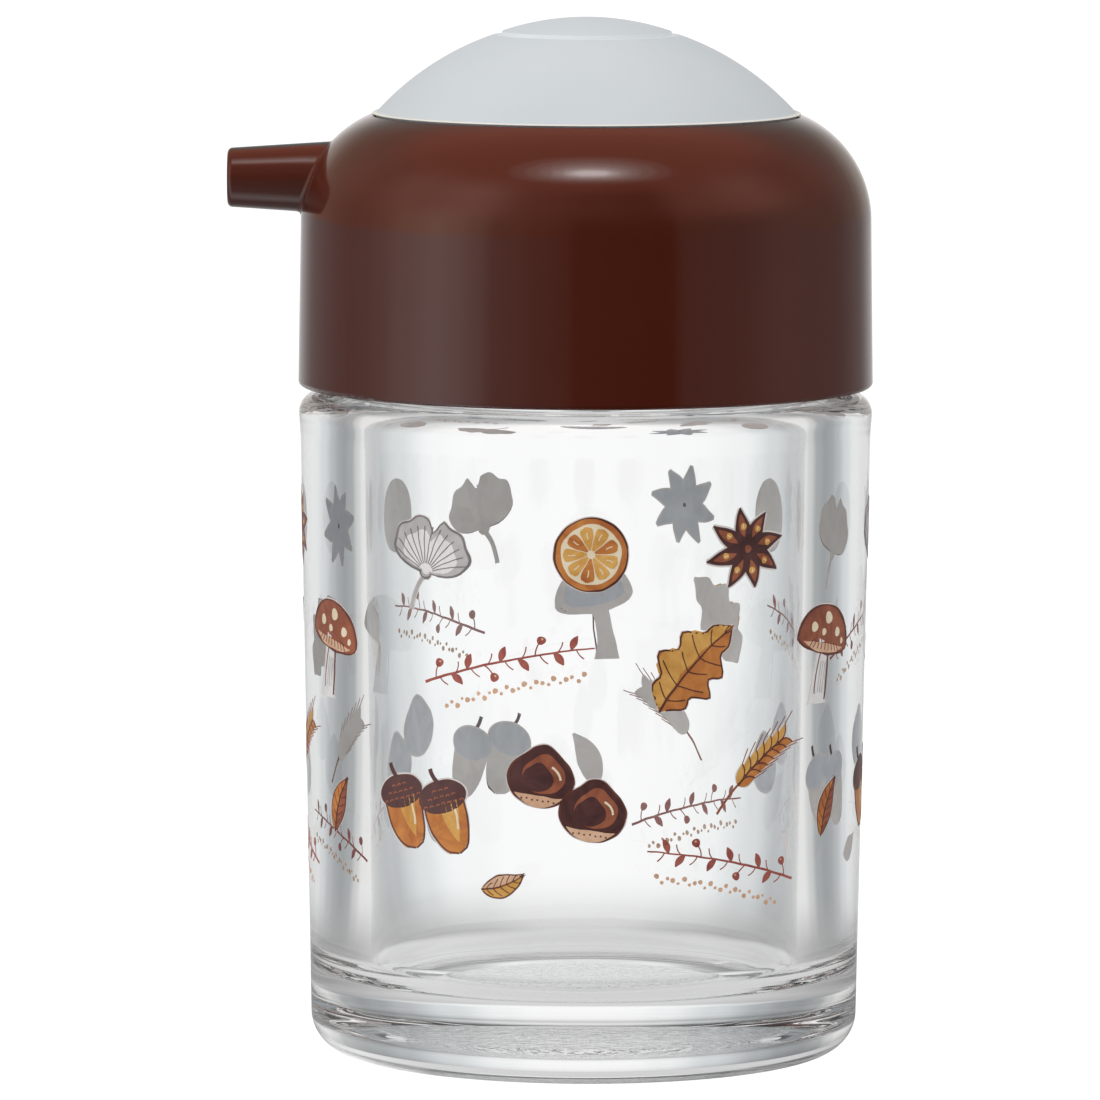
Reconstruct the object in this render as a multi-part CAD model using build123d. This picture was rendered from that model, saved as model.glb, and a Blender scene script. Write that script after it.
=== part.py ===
from build123d import *
from math import radians, sqrt, tan
import os

# A table dispenser for soy sauce: a heavy pressed glass bottle, and a screw cap that
# carries a fixed side spout and a soft dome that is pressed to push the sauce out.
# Millimetres. Z is up, the origin is the centre of the foot, and the spout points to -X.

# Bottle
BODY_BAND_RADIUS = 33.08
BODY_BAND_SWELL = 0.34
BODY_BAND_HEIGHT = 4.6
BODY_DRAFT = 1.4
SHOULDER_HEIGHT = 76.0
SHOULDER_ROUNDING = 2.3
SHOULDER_LEDGE = 5.18
HEEL_ROUNDING = 4.5
FOOT_RING_WIDTH = 3.34
PUNT_SLOPE_WIDTH = 7.5
PUNT_DEPTH = 2.7
PUNT_ROUNDING = 0.8
FLOOR_THICKNESS = 6.2
FLOOR_CORNER_ROUNDING = 3.2
BORE_DRAFT = 0.9
NECK_WALL = 2.5
NECK_HEIGHT = 11.9
NECK_ROOT_ROUNDING = 0.8
RIM_ROUNDING = 0.9

# Screw thread between neck and lid, whose ridges are left to the finish
THREAD_DEPTH = 0.8
THREAD_CLEARANCE = 0.3

# Neck gasket
GASKET_THICKNESS = 1.5
GASKET_PLUG_CLEARANCE = 0.1
GASKET_SKIRT_CLEARANCE = 0.6

# Cap cover
COVER_BOTTOM_GAP = 0.8
COVER_SETBACK = 0.1
COVER_DRAFT = 0.28
COVER_WALL = 2.0
COVER_SIDE_LENGTH = 19.05
COVER_SHOULDER_ROUNDING = 13.0
COVER_EDGE_ROUNDING = 0.6
COVER_SHOULDER_WIDTH = 8.4
COVER_OPENING_ROUNDING = 0.3
LIP_THICKNESS = 2.46
SNAP_RADIAL_CLEARANCE = 0.15
SNAP_BEAD_HEIGHT = 1.0
SNAP_AXIAL_CLEARANCE = 0.05
KEY_COUNT = 4
KEY_WIDTH = 1.6
KEY_LENGTH = 4.5
KEY_DEPTH = 1.0
KEY_CLEARANCE = 0.2

# Spout
SPOUT_LENGTH = 8.4
SPOUT_RISE = 4.72
SPOUT_TIP_RADIUS = 3.38
SPOUT_HALF_ANGLE = 3.8
SPOUT_TIP_ROUNDING = 0.6
SPOUT_ROOT_FILLET = 0.5
SPOUT_BORE_DIAMETER = 2.2
SPOUT_BOSS_RADIUS = 3.2
SPOUT_BOSS_GAP = 0.2

# Push dome, with the raised pad at its centre
DOME_RADIUS = 32.4
DOME_EDGE_RISE = 0.09
DOME_WALL = 1.3
DOME_OPENING_CLEARANCE = 0.2
DOME_FLANGE_THICKNESS = 1.4
DOME_FLANGE_WIDTH = 2.4
DOME_BEAD_WIDTH = 1.0
DOME_BEAD_DEPTH = 0.7
DOME_SEAT_CLEARANCE = 0.3
PAD_RADIUS = 9.8
PAD_FOOT_WIDTH = 0.45
PAD_TOP_RADIUS = 30.0
PAD_STEP = 0.22
PAD_THICKNESS = 2.2
PAD_EDGE_ROUNDING = 0.15
PAD_CLEARANCE = 0.15

# Clamp ring
RING_WIDTH = 3.3
RING_STEP_THICKNESS = 0.9
RING_OVERHANG = 0.2
RING_BEAD_CLEARANCE = 0.1
RING_SEAT_WIDTH = 0.9

# Inner lid
PLUG_CLEARANCE = 0.4
PLUG_WALL = 1.2
PLUG_DEPTH = 4.0
SKIRT_WALL = 1.1
SKIRT_SHOULDER_GAP = 1.5
DECK_THICKNESS = 1.8
FLANGE_CLEARANCE = 0.1
CUP_WALL = 1.6
CUP_FLOOR_RISE = 7.1
CUP_FLOOR_THICKNESS = 1.6
POUR_HOLE_DIAMETER = 4.0
VENT_HOLE_DIAMETER = 1.6
HOLE_INSET = 5.8
GUSSET_COUNT = 8
GUSSET_THICKNESS = 1.0
GUSSET_HEIGHT = 6.5
GUSSET_INSET = 0.8

# Spout seal
SEAL_WALL = 1.0
SEAL_THICKNESS = 1.6
SEAL_FLAT_DEPTH = 0.2

# How far each cutting tool runs past the face that it cuts
CUT_MARGIN = 1.0


def circle_height(centre_radius, centre_height, rounding, radius):
    """The height of a circle of the profile plane at a distance from the axis."""
    return centre_height + sqrt(rounding ** 2 - (radius - centre_radius) ** 2)


# Bottle sizes that follow
body_top_radius = BODY_BAND_RADIUS - BODY_BAND_SWELL
body_foot_radius = body_top_radius - BODY_DRAFT
foot_ring_inner_radius = body_foot_radius - HEEL_ROUNDING - FOOT_RING_WIDTH
punt_radius = foot_ring_inner_radius - PUNT_SLOPE_WIDTH
floor_height = PUNT_DEPTH + FLOOR_THICKNESS
rim_height = SHOULDER_HEIGHT + NECK_HEIGHT
neck_radius = BODY_BAND_RADIUS - SHOULDER_LEDGE
bore_top_radius = neck_radius - NECK_WALL
bore_bottom_radius = bore_top_radius - BORE_DRAFT

# Cover sizes that follow
cover_bottom = SHOULDER_HEIGHT + COVER_BOTTOM_GAP
cover_side_top = cover_bottom + COVER_SIDE_LENGTH
cover_bottom_radius = BODY_BAND_RADIUS - COVER_SETBACK
cover_radius = cover_bottom_radius - COVER_DRAFT
cover_inner_bottom_radius = cover_bottom_radius - COVER_WALL
cover_inner_radius = cover_radius - COVER_WALL
cover_inner_rounding = COVER_SHOULDER_ROUNDING - COVER_WALL
shoulder_centre_radius = cover_radius - COVER_SHOULDER_ROUNDING
opening_radius = cover_radius - COVER_SHOULDER_WIDTH
opening_top = circle_height(
    shoulder_centre_radius, cover_side_top, COVER_SHOULDER_ROUNDING, opening_radius
)
lip_underside = opening_top - LIP_THICKNESS
spout_height = cover_side_top + SPOUT_RISE
spout_tip_reach = cover_radius + SPOUT_LENGTH

# Dome, pad and clamp ring sizes that follow
dome_skirt_radius = opening_radius - DOME_OPENING_CLEARANCE
dome_flange_radius = dome_skirt_radius + DOME_FLANGE_WIDTH
dome_seat_radius = dome_flange_radius + DOME_SEAT_CLEARANCE
dome_edge_height = opening_top + DOME_EDGE_RISE
dome_centre = dome_edge_height - sqrt(DOME_RADIUS ** 2 - dome_skirt_radius ** 2)
dome_inner_radius = DOME_RADIUS - DOME_WALL
flange_underside = lip_underside - DOME_FLANGE_THICKNESS
bead_underside = flange_underside - DOME_BEAD_DEPTH
pad_foot_radius = PAD_RADIUS + PAD_FOOT_WIDTH
pad_foot_height = circle_height(0, dome_centre, DOME_RADIUS, pad_foot_radius)
pad_edge_height = pad_foot_height + PAD_STEP
pad_top_centre = pad_edge_height - sqrt(PAD_TOP_RADIUS ** 2 - PAD_RADIUS ** 2)
pad_underside = pad_foot_height - PAD_THICKNESS
dome_hole_radius = pad_foot_radius + PAD_CLEARANCE
ring_step = bead_underside - RING_BEAD_CLEARANCE
ring_outer_radius = dome_flange_radius + RING_OVERHANG
ring_inner_radius = ring_outer_radius - RING_WIDTH
ring_step_radius = dome_flange_radius - DOME_BEAD_WIDTH - RING_BEAD_CLEARANCE

# Inner lid and seal sizes that follow
deck_underside = rim_height + GASKET_THICKNESS
deck_top = deck_underside + DECK_THICKNESS
plug_radius = bore_top_radius - PLUG_CLEARANCE
skirt_inner_radius = neck_radius + THREAD_DEPTH + THREAD_CLEARANCE
skirt_outer_radius = skirt_inner_radius + SKIRT_WALL
flange_radius = cover_inner_radius - FLANGE_CLEARANCE
cup_inner_radius = ring_outer_radius - RING_SEAT_WIDTH
cup_outer_radius = cup_inner_radius + CUP_WALL
cup_floor_underside = deck_underside + CUP_FLOOR_RISE
cup_floor_top = cup_floor_underside + CUP_FLOOR_THICKNESS
cup_top = ring_step - RING_STEP_THICKNESS
hole_centre_radius = cup_inner_radius - HOLE_INSET
seal_radius = SPOUT_BORE_DIAMETER / 2 + SEAL_WALL
seal_flat = cup_outer_radius - SEAL_FLAT_DEPTH
seal_far_face = seal_flat + SEAL_THICKNESS
spout_boss_face = cup_outer_radius + SPOUT_BOSS_GAP


def profile_arc(centre_radius, centre_height, rounding, start_radius, end_radius):
    """The upper arc of a circle of the profile plane between two distances from the axis."""
    middle_radius = (start_radius + end_radius) / 2
    points = []
    for radius in (start_radius, middle_radius, end_radius):
        points.append((radius, circle_height(centre_radius, centre_height, rounding, radius)))
    return ThreePointArc(*points)


def shoulder_arc(rounding, start_radius, end_radius):
    """An arc about the cap's shoulder centre, from above down to where the straight side begins."""
    middle_radius = (start_radius + end_radius) / 2
    points = []
    for radius in (start_radius, middle_radius):
        points.append((radius, circle_height(shoulder_centre_radius, cover_side_top, rounding, radius)))
    return ThreePointArc(*points, (end_radius, cover_side_top))


def spin(outline):
    """The solid that a closed outline in (radius, height) makes about the Z axis."""
    return revolve(Plane.XZ * make_face(outline), Axis.Z)


def turned(*corners):
    """A solid of revolution from (radius, height, rounding) corners of straight sides."""
    points = [(radius, height) for radius, height, rounding in corners]
    roundings = [rounding for radius, height, rounding in corners]
    return spin(FilletPolyline(*points, radius=roundings, close=True))


def along_x(radius, near, far, height=spout_height):
    """A round bar along the spout's axis between two distances from the Z axis."""
    start = Plane(origin=(-near, 0, height), z_dir=(-1, 0, 0))
    return extrude(start * Circle(radius), far - near)


def top_rim(piece):
    """The highest closed edge of a turned piece."""
    return piece.edges().filter_by(lambda edge: edge.is_closed).sort_by(Axis.Z)[-1]


def around(count, first_angle=0):
    """Places evenly spaced about the Z axis."""
    return [Rot(0, 0, first_angle + 360 / count * step) for step in range(count)]


def make_bottle():
    """Thick pressed glass: a foot ring round a shallow punt, a flat shoulder, a wide neck."""
    return turned(
        (0, PUNT_DEPTH, 0),
        (punt_radius, PUNT_DEPTH, PUNT_ROUNDING),
        (foot_ring_inner_radius, 0, PUNT_ROUNDING),
        (body_foot_radius, 0, HEEL_ROUNDING),
        (body_top_radius, SHOULDER_HEIGHT - BODY_BAND_HEIGHT, 0),
        (BODY_BAND_RADIUS, SHOULDER_HEIGHT, SHOULDER_ROUNDING),
        (neck_radius, SHOULDER_HEIGHT, NECK_ROOT_ROUNDING),
        (neck_radius, rim_height, RIM_ROUNDING),
        (bore_top_radius, rim_height, RIM_ROUNDING),
        (bore_bottom_radius, floor_height, FLOOR_CORNER_ROUNDING),
        (0, floor_height, 0),
    )


def make_neck_gasket():
    """The flat washer that the lid's deck presses onto the rim."""
    inner = plug_radius + GASKET_PLUG_CLEARANCE
    outer = skirt_inner_radius - GASKET_SKIRT_CLEARANCE
    return turned(
        (inner, rim_height, 0),
        (outer, rim_height, 0),
        (outer, deck_underside, 0),
        (inner, deck_underside, 0),
    )


def make_inner_lid():
    """Threaded skirt, plug, deck and a cup above it that floors the chamber of the dome."""
    skirt_bottom = SHOULDER_HEIGHT + SKIRT_SHOULDER_GAP
    lid = turned(
        (skirt_inner_radius, skirt_bottom, 0),
        (skirt_inner_radius, deck_underside, 0),
        (plug_radius, deck_underside, 0),
        (plug_radius, deck_underside - PLUG_DEPTH, PLUG_WALL / 3),
        (plug_radius - PLUG_WALL, deck_underside - PLUG_DEPTH, PLUG_WALL / 3),
        (plug_radius - PLUG_WALL, deck_top, 0),
        (cup_inner_radius, deck_top, 0),
        (cup_inner_radius, cup_floor_underside, CUP_WALL / 2),
        (0, cup_floor_underside, 0),
        (0, cup_floor_top, 0),
        (cup_inner_radius, cup_floor_top, CUP_WALL / 2),
        (cup_inner_radius, cup_top, 0),
        (cup_outer_radius, cup_top, 0),
        (cup_outer_radius, deck_top, 0),
        (flange_radius, deck_top, 0),
        (flange_radius, deck_underside, 0),
        (skirt_outer_radius, deck_underside, 0),
        (skirt_outer_radius, skirt_bottom, 0),
    )
    gusset_outline = Polyline(
        (cup_outer_radius - CUP_WALL / 2, deck_top - DECK_THICKNESS / 2),
        (flange_radius - GUSSET_INSET, deck_top - DECK_THICKNESS / 2),
        (flange_radius - GUSSET_INSET, deck_top),
        (cup_outer_radius, deck_top + GUSSET_HEIGHT),
        (cup_outer_radius - CUP_WALL / 2, deck_top + GUSSET_HEIGHT),
        close=True,
    )
    gusset = extrude(Plane.XZ * make_face(gusset_outline), GUSSET_THICKNESS / 2, both=True)
    for place in around(GUSSET_COUNT, 180 / GUSSET_COUNT):
        lid += place * gusset
    slot = make_key(KEY_CLEARANCE)
    for place in around(KEY_COUNT):
        lid -= place * slot
    hole_height = cup_floor_underside + CUP_FLOOR_THICKNESS / 2
    hole_length = 2 * CUP_FLOOR_THICKNESS
    for side, diameter in ((-1, POUR_HOLE_DIAMETER), (1, VENT_HOLE_DIAMETER)):
        centre = Pos(side * hole_centre_radius, 0, hole_height)
        lid -= centre * Cylinder(diameter / 2, hole_length)
    seal_face_height = cup_top - cup_floor_top
    lid -= Pos(-seal_flat, 0, cup_floor_top) * Box(
        CUP_WALL, 4 * seal_radius, 2 * seal_face_height, align=(Align.MAX, Align.CENTER, Align.CENTER)
    )
    lid -= along_x(SPOUT_BORE_DIAMETER / 2, cup_inner_radius - CUP_WALL, cup_outer_radius + CUP_WALL)
    return lid


def make_key(clearance=0):
    """One driving key of the cover or, with a clearance, the slot in the lid's flange for it."""
    inner = cover_inner_radius - KEY_DEPTH - clearance
    outer = cover_inner_radius + COVER_WALL / 2
    bottom = deck_underside + SNAP_AXIAL_CLEARANCE - 2 * clearance
    key = Box(
        outer - inner,
        KEY_WIDTH + 2 * clearance,
        KEY_LENGTH + 2 * clearance,
        align=(Align.MIN, Align.CENTER, Align.MIN),
    )
    return Pos(inner, 0, bottom) * key


def make_spout():
    """The tapered spout as a solid bar, whose bore is drilled last."""
    root_reach = spout_boss_face
    root_radius = SPOUT_TIP_RADIUS + (spout_tip_reach - root_reach) * tan(radians(SPOUT_HALF_ANGLE))
    outline = FilletPolyline(
        (-spout_tip_reach, spout_height),
        (-spout_tip_reach, spout_height + SPOUT_TIP_RADIUS),
        (-root_reach, spout_height + root_radius),
        (-root_reach, spout_height),
        radius=[0, SPOUT_TIP_ROUNDING, 0, 0],
        close=True,
    )
    return revolve(Plane.XZ * make_face(outline), Axis((0, 0, spout_height), (1, 0, 0)))


def make_cover_envelope():
    """The outside of the cap as a solid: straight side, round shoulder and a top opening."""
    shoulder = shoulder_arc(COVER_SHOULDER_ROUNDING, opening_radius, cover_radius)
    outline = shoulder + Polyline(
        (cover_radius, cover_side_top),
        (cover_bottom_radius, cover_bottom),
        (0, cover_bottom),
        (0, opening_top),
        (opening_radius, opening_top),
    )
    return spin(outline)


def make_cover_cavity():
    """The inside of the cap: an even wall, with a flat seat under the lip for the dome."""
    seat_height = circle_height(
        shoulder_centre_radius, cover_side_top, cover_inner_rounding, dome_seat_radius
    )
    below = cover_bottom - COVER_WALL
    bead_radius = skirt_outer_radius + SNAP_RADIAL_CLEARANCE
    bead_top = deck_underside - SNAP_AXIAL_CLEARANCE
    shoulder = shoulder_arc(cover_inner_rounding, dome_seat_radius, cover_inner_radius)
    outline = shoulder + Polyline(
        (cover_inner_radius, cover_side_top),
        (cover_inner_radius, bead_top),
        (bead_radius, bead_top),
        (bead_radius, bead_top - SNAP_BEAD_HEIGHT / 3),
        (cover_inner_bottom_radius, bead_top - SNAP_BEAD_HEIGHT),
        (cover_inner_bottom_radius, below),
        (0, below),
        (0, lip_underside),
        (dome_seat_radius, lip_underside),
        (dome_seat_radius, seat_height),
    )
    return spin(outline)


def make_cap_cover():
    """The outer shell of the cap with its spout, driving keys and snap bead."""
    envelope = make_cover_envelope()
    spout = make_spout()
    cover = envelope + spout
    cover = fillet(new_edges(envelope, spout, combined=cover), SPOUT_ROOT_FILLET)
    bottom_edge = cover.edges().sort_by(Axis.Z)[0]
    cover = fillet(bottom_edge, COVER_EDGE_ROUNDING)
    cover -= make_cover_cavity()
    cover -= Pos(0, 0, lip_underside) * Cylinder(opening_radius, 4 * COVER_WALL)
    cover = fillet(top_rim(cover), COVER_OPENING_ROUNDING)
    cover += along_x(SPOUT_BOSS_RADIUS, spout_boss_face, cover_inner_radius)
    for place in around(KEY_COUNT):
        cover += place * make_key()
    cover -= along_x(SPOUT_BORE_DIAMETER / 2, spout_boss_face - CUT_MARGIN, spout_tip_reach + CUT_MARGIN)
    cover -= along_x(seal_radius, spout_boss_face - CUT_MARGIN, seal_far_face)
    return cover


def make_spout_seal():
    """The soft ring that closes the joint between the cup's port and the spout's bore."""
    ring = along_x(seal_radius, seal_flat, seal_far_face)
    return ring - along_x(SPOUT_BORE_DIAMETER / 2, seal_flat - CUT_MARGIN, seal_far_face + CUT_MARGIN)


def make_clamp_ring():
    """The hard ring on the cup's top that presses the dome's flange up against the lip."""
    return turned(
        (ring_inner_radius, cup_top, 0),
        (ring_outer_radius, cup_top, 0),
        (ring_outer_radius, ring_step, 0),
        (ring_step_radius, ring_step, 0),
        (ring_step_radius, flange_underside, 0),
        (ring_inner_radius, flange_underside, 0),
    )


def make_push_dome():
    """The soft dome wall, from the flange under the lip up to the pad."""
    skirt_inner = dome_skirt_radius - DOME_WALL
    top = profile_arc(0, dome_centre, DOME_RADIUS, dome_hole_radius, dome_skirt_radius)
    underside = profile_arc(0, dome_centre, dome_inner_radius, skirt_inner, dome_hole_radius)
    bead_inner = dome_flange_radius - DOME_BEAD_WIDTH
    flange = Polyline(
        top @ 1,
        (dome_skirt_radius, lip_underside),
        (dome_flange_radius, lip_underside),
        (dome_flange_radius, bead_underside),
        (bead_inner, bead_underside),
        (bead_inner, flange_underside),
        (skirt_inner, flange_underside),
        underside @ 0,
    )
    return spin(top + flange + underside + Line(underside @ 1, top @ 0))


def make_push_pad():
    """The thick round pad at the dome's centre, which the thumb pushes down."""
    top = profile_arc(0, pad_top_centre, PAD_TOP_RADIUS, 0, PAD_RADIUS)
    sides = Polyline(
        top @ 1,
        (PAD_RADIUS, pad_foot_height),
        (pad_foot_radius, pad_foot_height),
        (pad_foot_radius, pad_underside),
        (0, pad_underside),
        top @ 0,
    )
    pad = spin(top + sides)
    return fillet(top_rim(pad), PAD_EDGE_ROUNDING)


PIECES = {
    "bottle": make_bottle,
    "neck_gasket": make_neck_gasket,
    "inner_lid": make_inner_lid,
    "cap_cover": make_cap_cover,
    "spout_seal": make_spout_seal,
    "clamp_ring": make_clamp_ring,
    "push_dome": make_push_dome,
    "push_pad": make_push_pad,
}

os.makedirs("parts", exist_ok=True)
for name, make in PIECES.items():
    piece = make()
    piece.label = name
    export_step(piece, f"parts/{name}.step")
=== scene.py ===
from math import ceil, cos, hypot, pi, radians, sin, sqrt, tan

import bmesh
import bpy
from mathutils import Euler, Matrix, Vector, noise


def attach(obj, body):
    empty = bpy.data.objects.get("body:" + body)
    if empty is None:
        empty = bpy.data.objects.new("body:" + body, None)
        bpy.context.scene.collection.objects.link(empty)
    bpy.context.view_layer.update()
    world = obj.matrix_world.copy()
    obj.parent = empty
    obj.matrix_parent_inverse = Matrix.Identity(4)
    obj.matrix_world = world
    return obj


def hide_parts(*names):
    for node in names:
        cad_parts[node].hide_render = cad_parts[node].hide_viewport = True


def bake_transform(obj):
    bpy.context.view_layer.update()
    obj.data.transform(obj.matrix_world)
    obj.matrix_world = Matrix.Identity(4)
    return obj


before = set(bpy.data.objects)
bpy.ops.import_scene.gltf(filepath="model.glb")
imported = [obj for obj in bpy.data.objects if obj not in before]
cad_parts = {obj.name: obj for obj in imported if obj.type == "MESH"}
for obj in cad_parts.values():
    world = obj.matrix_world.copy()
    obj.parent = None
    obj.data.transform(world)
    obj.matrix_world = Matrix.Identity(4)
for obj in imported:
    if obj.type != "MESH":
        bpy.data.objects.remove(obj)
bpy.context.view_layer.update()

# A glass table dispenser for soy sauce with a brown screw cap and a soft dome.
# Sizes of the object are millimetres, and MM turns them into metres.
MM = 0.001

# Bottle, with the sizes of the part's source
FOOT_RADIUS = 31.34
FOOT_RING_INNER_RADIUS = 23.5
PUNT_RADIUS = 16.0
PUNT_DEPTH = 2.7
PUNT_ROUNDING = 0.8
HEEL_ROUNDING = 4.5
BODY_TOP_RADIUS = 32.74
BODY_TOP_HEIGHT = 71.4
BAND_RADIUS = 33.08
SHOULDER_HEIGHT = 76.0
SHOULDER_ROUNDING = 2.3
NECK_RADIUS = 27.9
NECK_ROOT_ROUNDING = 0.8
RIM_HEIGHT = 87.9
RIM_ROUNDING = 0.9
BORE_TOP_RADIUS = 25.4
BORE_BOTTOM_RADIUS = 24.5
FLOOR_HEIGHT = 8.9
FLOOR_CORNER_ROUNDING = 3.2

# Unevenness of the pressed glass
BORE_RIPPLE = 0.06
BORE_RIPPLES_ROUND = 3
BORE_RIPPLE_LENGTH = 60
BORE_RIPPLE_REACH = 0.2
BORE_RIPPLE_MARGIN = 2
PUNT_RIPPLE = 0.02
PUNT_RIPPLE_SCALE = 1.1
PUNT_RIPPLE_MARGIN = 1
PUNT_RIPPLE_REACH = 0.1
SURFACE_RIPPLE = 0.2
STIPPLE_HEIGHT = 1.5
STIPPLE_FROST = 0.08

# Screw thread, whose ridges taper over a ninth of their length at each end
THREAD_START = 84.6
THREAD_TURNS = 1.5
THREAD_PITCH = 4.0
THREAD_DEPTH = 0.8
THREAD_ROOT_WIDTH = 2.0
THREAD_CREST_WIDTH = 0.9
THREAD_SINK = 0.3
THREAD_FLANK = 0.7
THREAD_TAPER = 9
THREAD_END_SHARE = 0.1
THREAD_STEPS_PER_TURN = 120
SKIRT_INNER_RADIUS = 29.0

# Dome and pad
DOME_RADIUS = 32.4
DOME_CENTRE_HEIGHT = 86.44
DOME_WALL = 1.3
DOME_SKIRT_RADIUS = 24.1
DOME_FLANGE_RADIUS = 26.5
DOME_BEAD_RADIUS = 25.5
LIP_UNDERSIDE = 105.55
FLANGE_UNDERSIDE = 104.15
BEAD_UNDERSIDE = 103.45
DOME_FOOT_RADIUS = 23.95
DOME_RIM_RADIUS = 24.55
DOME_RIM_TOP = 108.16
DOME_RIM_UNDERSIDE = 108.03
DOME_RIM_BEVEL_WIDTH = 0.1
DOME_RIM_BEVEL_HEIGHT = 0.08
DOME_RIM_UNDERCUT = 0.03
PAD_FOOT_RADIUS = 11.2
PAD_FOOT_HEIGHT = 117.02
PAD_UNDERSIDE_RADIUS = 10.25
PAD_RADIUS = 9.65
PAD_SIDE_TOP_WIDTH = 0.08
PAD_SIDE_WIDTH = 0.1
PAD_SIDE_HEIGHT = 0.34
PAD_SIDE_ROUNDING = 0.05
PAD_LEDGE_WIDTH = 0.5
PAD_LEDGE_DROP = 0.02
PAD_LEDGE_ROUNDING = 0.8
PAD_INSIDE_SLOPE = 0.4
PAD_TOP_RADIUS = 30.0
PAD_TOP_CENTRE_HEIGHT = 89.05
PAD_UNDERSIDE = 114.98

# Fineness of the turned meshes
BOTTLE_STEPS = 360
DOME_STEPS = 288
DOME_ARC_STEPS = 28
PAD_ARC_STEPS = 20
ARC_STEP = radians(6)
RUN_STEP = 1.5
EDGE_STEP = 0.12
LEAST_RADIUS = 1e-6


class Graph:
    """Adds shader nodes to a tree. An input is a plain value or another node's output."""

    def __init__(self, tree):
        self.tree = tree
        tree.nodes.clear()

    def add(self, kind, inputs=None, **settings):
        node = self.tree.nodes.new(kind)
        for name, value in settings.items():
            setattr(node, name, value)
        for name, value in (inputs or {}).items():
            self.feed(node.inputs[name], value)
        return node

    def feed(self, socket, value):
        if isinstance(value, bpy.types.NodeSocket):
            self.tree.links.new(value, socket)
        else:
            socket.default_value = value

    def math(self, operation, first, second=0.0, third=0.0):
        node = self.add("ShaderNodeMath", {0: first, 1: second, 2: third}, operation=operation)
        return node.outputs[0]

    def length(self, vector):
        return self.add("ShaderNodeVectorMath", {0: vector}, operation="LENGTH").outputs["Value"]

    def ramp(self, factor, stops, interpolation="EASE"):
        """A ramp whose stops are (position, level or colour)."""
        node = self.add("ShaderNodeValToRGB", {"Fac": factor})
        node.color_ramp.interpolation = interpolation
        elements = node.color_ramp.elements
        for _ in range(len(stops) - len(elements)):
            elements.new(1.0)
        for element, (position, value) in zip(elements, stops):
            element.position = position
            element.color = colour(value)
        return node.outputs["Color"]

    def span(self, value, low, high):
        """How far a value has gone from low to high, smoothly, from 0 to 1."""
        node = self.add(
            "ShaderNodeMapRange",
            {"Value": value, "From Min": low, "From Max": high},
            interpolation_type="SMOOTHSTEP",
        )
        return node.outputs["Result"]

    def blend(self, factor, first, second):
        """A colour that goes from the first to the second as a factor goes from 0 to 1."""
        inputs = {"Factor": factor, "A": first, "B": second}
        return self.add("ShaderNodeMix", inputs, data_type="RGBA").outputs["Result"]

    def place(self):
        """Where a point lies in its piece's own coordinates."""
        return self.add("ShaderNodeTexCoord").outputs["Object"]

    def cloud(self, place, scale, detail, **more):
        """Noise over a place, from 0 to 1."""
        inputs = {"Vector": place, "Scale": scale, "Detail": detail, **more}
        return self.add("ShaderNodeTexNoise", inputs).outputs["Fac"]

    def two_tone(self, cloud, low, high):
        """Two tones of one colour over the middle of a cloud's levels."""
        return self.ramp(cloud, ((0.3, low), (0.7, high)))

    def bump(self, height, strength, distance, **more):
        inputs = {"Height": height, "Strength": strength, "Distance": distance, **more}
        return self.add("ShaderNodeBump", inputs).outputs["Normal"]

    def glow(self, tone):
        return self.add("ShaderNodeEmission", {"Color": tone, "Strength": 1.0}).outputs[0]

    def mix(self, factor, first, second):
        """A shader that goes from the first to the second as a factor goes from 0 to 1."""
        return self.add("ShaderNodeMixShader", {0: factor, 1: first, 2: second}).outputs[0]

    def surface(self, shader):
        self.add("ShaderNodeOutputMaterial", {"Surface": shader})

    def coat(self, tone, roughness, **more):
        """Gives the surface an opaque shader."""
        inputs = {"Base Color": tone, "Roughness": roughness, **more}
        self.surface(self.add("ShaderNodeBsdfPrincipled", inputs).outputs[0])


def colour(value):
    """A level or an RGB triple as RGBA."""
    if isinstance(value, (int, float)):
        value = (value, value, value)
    return (*value, 1.0)


def new_graph(name):
    """A new material and the graph of its nodes."""
    made = bpy.data.materials.new(name)
    made.use_nodes = True
    return made, Graph(made.node_tree)


def add_object(name, data):
    made = bpy.data.objects.new(name, data)
    bpy.context.scene.collection.objects.link(made)
    return made


def add_solid(name, build):
    """An object from a closed bmesh, with its faces turned outward."""
    bmesh.ops.recalc_face_normals(build, faces=build.faces)
    mesh = bpy.data.meshes.new(name)
    build.to_mesh(mesh)
    build.free()
    return add_object(name, mesh)


def polar(angle, radius, height):
    """A point in metres from its angle round the axis, radius and height."""
    return radius * cos(angle) * MM, radius * sin(angle) * MM, height * MM


def bridge(build, first, second, closed=True):
    """Faces between two rows of points, of which one may be a single point."""
    count = max(len(first), len(second))
    for step in range(count if closed else count - 1):
        after = (step + 1) % count
        if len(first) == 1:
            build.faces.new((first[0], second[step], second[after]))
        elif len(second) == 1:
            build.faces.new((first[step], second[0], first[after]))
        else:
            build.faces.new((first[step], second[step], second[after], first[after]))


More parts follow.
